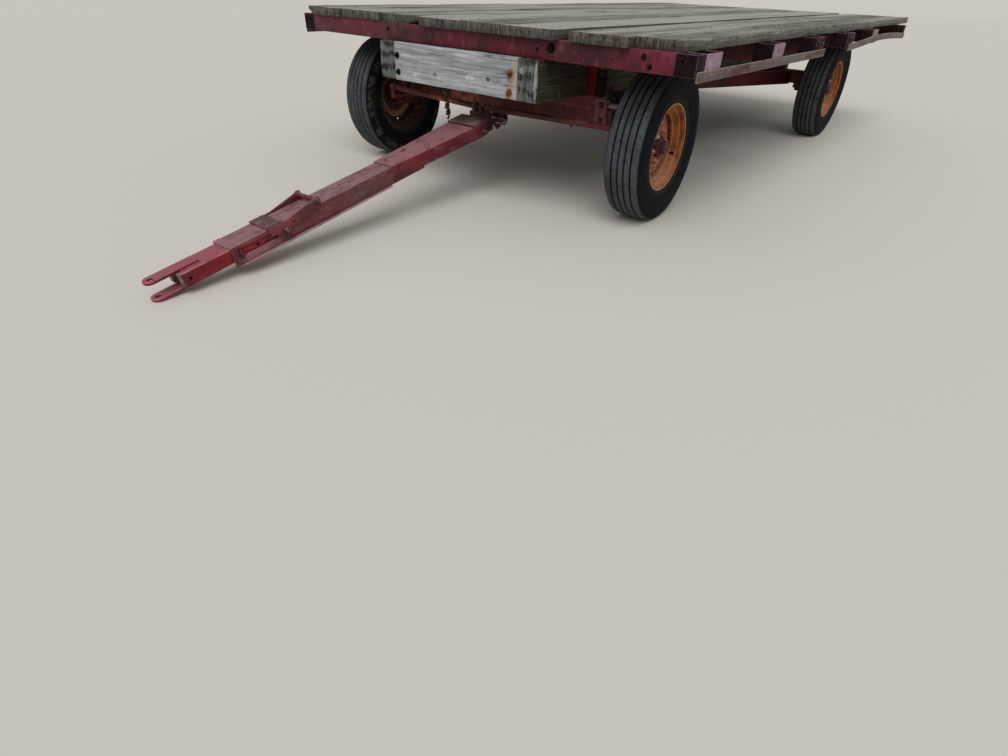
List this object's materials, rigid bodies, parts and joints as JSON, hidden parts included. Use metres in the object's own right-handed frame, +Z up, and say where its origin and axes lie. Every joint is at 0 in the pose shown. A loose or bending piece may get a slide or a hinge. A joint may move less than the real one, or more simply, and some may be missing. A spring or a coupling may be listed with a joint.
{
  "type": "hay wagon",
  "caption": "Flat plank deck on a four-wheel steel running gear, steered at the front by a hinged, telescoping tongue.",
  "frame": {"origin": "on the ground, midway along and across the wagon's bounding box with the tongue at rest", "axes": "-Y towards the tongue, +X to the wagon's left, +Z up"},
  "size_m": [2.746, 6.819, 0.91],
  "materials": {
    "tyre": "weathered black rubber",
    "rim": "rusted orange paint",
    "hub": "rusted dark red",
    "deck_wood": "bare weathered planks",
    "sill_wood": "bare weathered timber",
    "board_wood": "bare weathered timber",
    "rail": "rusted, traces of lilac paint",
    "pocket": "faded peeling lilac paint",
    "frame": "worn maroon paint",
    "tongue": "faded red paint",
    "bar": "dark red paint",
    "iron": "rusted",
    "gear": "rusted red paint"
  },
  "bodies": {
    "chassis": {"cross_channel_1": "frame", "cross_channel_2": "frame", "cross_channel_3": "frame", "cross_channel_4": "frame", "cross_channel_5": "frame", "deck_planks": "deck_wood", "front_axle": "gear", "front_board": "board_wood", "front_bolster": "gear", "front_hound_left": "gear", "front_hound_right": "gear", "header": "frame", "pivot_yoke": "gear", "reach": "gear", "rear_axle": "gear", "rear_bolster": "gear", "rear_hound_left": "gear", "rear_hound_right": "gear", "rub_rail_front_left": "rail", "rub_rail_front_right": "rail", "rub_rail_rear_left": "rail", "rub_rail_rear_right": "rail", "sill_left": "sill_wood", "sill_right": "sill_wood", "stake_pockets_left": "pocket", "stake_pockets_right": "pocket", "tail_channel": "frame"},
    "steering": {"steering_bracket": "gear"},
    "tongue": {"tongue_box": "tongue", "tongue_sleeve": "tongue", "latch_yoke": "iron"},
    "extension": {"extension_bar": "bar", "clevis_upper": "bar", "clevis_lower": "bar"},
    "knuckle_left": {"knuckle_left": "gear"},
    "tie_rod_left": {"tie_rod_left": "iron"},
    "knuckle_right": {"knuckle_right": "gear"},
    "tie_rod_right": {"tie_rod_right": "iron"},
    "wheel_front_left": {"tyre_front_left": "tyre", "rim_front_left": "rim", "hub_front_left": "hub"},
    "wheel_front_right": {"tyre_front_right": "tyre", "rim_front_right": "rim", "hub_front_right": "hub"},
    "wheel_rear_left": {"tyre_rear_left": "tyre", "rim_rear_left": "rim", "hub_rear_left": "hub"},
    "wheel_rear_right": {"tyre_rear_right": "tyre", "rim_rear_right": "rim", "hub_rear_right": "hub"}
  },
  "joints": [
    {"name": "steer", "type": "hinge", "parent": "chassis", "child": "steering", "pos_m": [0, -1.15047, 0.36], "axis": [0, 0, 1], "range_deg": [-38.3, 31.7]},
    {"name": "kingpin_left", "type": "hinge", "parent": "chassis", "child": "knuckle_left", "pos_m": [0.83, -1.06048, 0.42], "axis": [0, 0, 1], "range_deg": [-38.3, 31.7]},
    {"name": "tie_pin_left", "type": "hinge", "parent": "steering", "child": "tie_rod_left", "pos_m": [0.05414, -1.30762, 0.464], "axis": [0, 0, 1], "range_deg": [-31.7, 38.3]},
    {"name": "kingpin_right", "type": "hinge", "parent": "chassis", "child": "knuckle_right", "pos_m": [-0.83, -1.06048, 0.42], "axis": [0, 0, 1], "range_deg": [-38.3, 31.7]},
    {"name": "tie_pin_right", "type": "hinge", "parent": "steering", "child": "tie_rod_right", "pos_m": [-0.03571, -1.3128, 0.464], "axis": [0, 0, 1], "range_deg": [-31.7, 38.3]},
    {"name": "tongue_lift", "type": "hinge", "parent": "steering", "child": "tongue", "pos_m": [0.01583, -1.42502, 0.36], "axis": [-0.9983, -0.0576, 0], "range_deg": [-5, 37.11]},
    {"name": "tongue_slide", "type": "slide", "parent": "tongue", "child": "extension", "axis": [0.0568, -0.9858, -0.1583], "range_m": [-0.1, 0.25]},
    {"name": "wheel_spin_front_left", "type": "hinge", "parent": "knuckle_left", "child": "wheel_front_left", "pos_m": [1.0127, -1.04994, 0.38], "axis": [0.9983, 0.0576, 0], "continuous": true},
    {"name": "wheel_spin_front_right", "type": "hinge", "parent": "knuckle_right", "child": "wheel_front_right", "pos_m": [-1.0127, -1.07101, 0.38], "axis": [0.9983, 0.0576, 0], "continuous": true},
    {"name": "wheel_spin_rear_left", "type": "hinge", "parent": "chassis", "child": "wheel_rear_left", "pos_m": [1.013, 2.09952, 0.38], "axis": [1, 0, 0], "continuous": true},
    {"name": "wheel_spin_rear_right", "type": "hinge", "parent": "chassis", "child": "wheel_rear_right", "pos_m": [-1.013, 2.09952, 0.38], "axis": [1, 0, 0], "continuous": true}
  ],
  "couplings": [
    {"joint": "kingpin_left", "follows": "steer", "ratio": 1},
    {"joint": "tie_pin_left", "follows": "steer", "ratio": -1},
    {"joint": "kingpin_right", "follows": "steer", "ratio": 1},
    {"joint": "tie_pin_right", "follows": "steer", "ratio": -1}
  ]
}
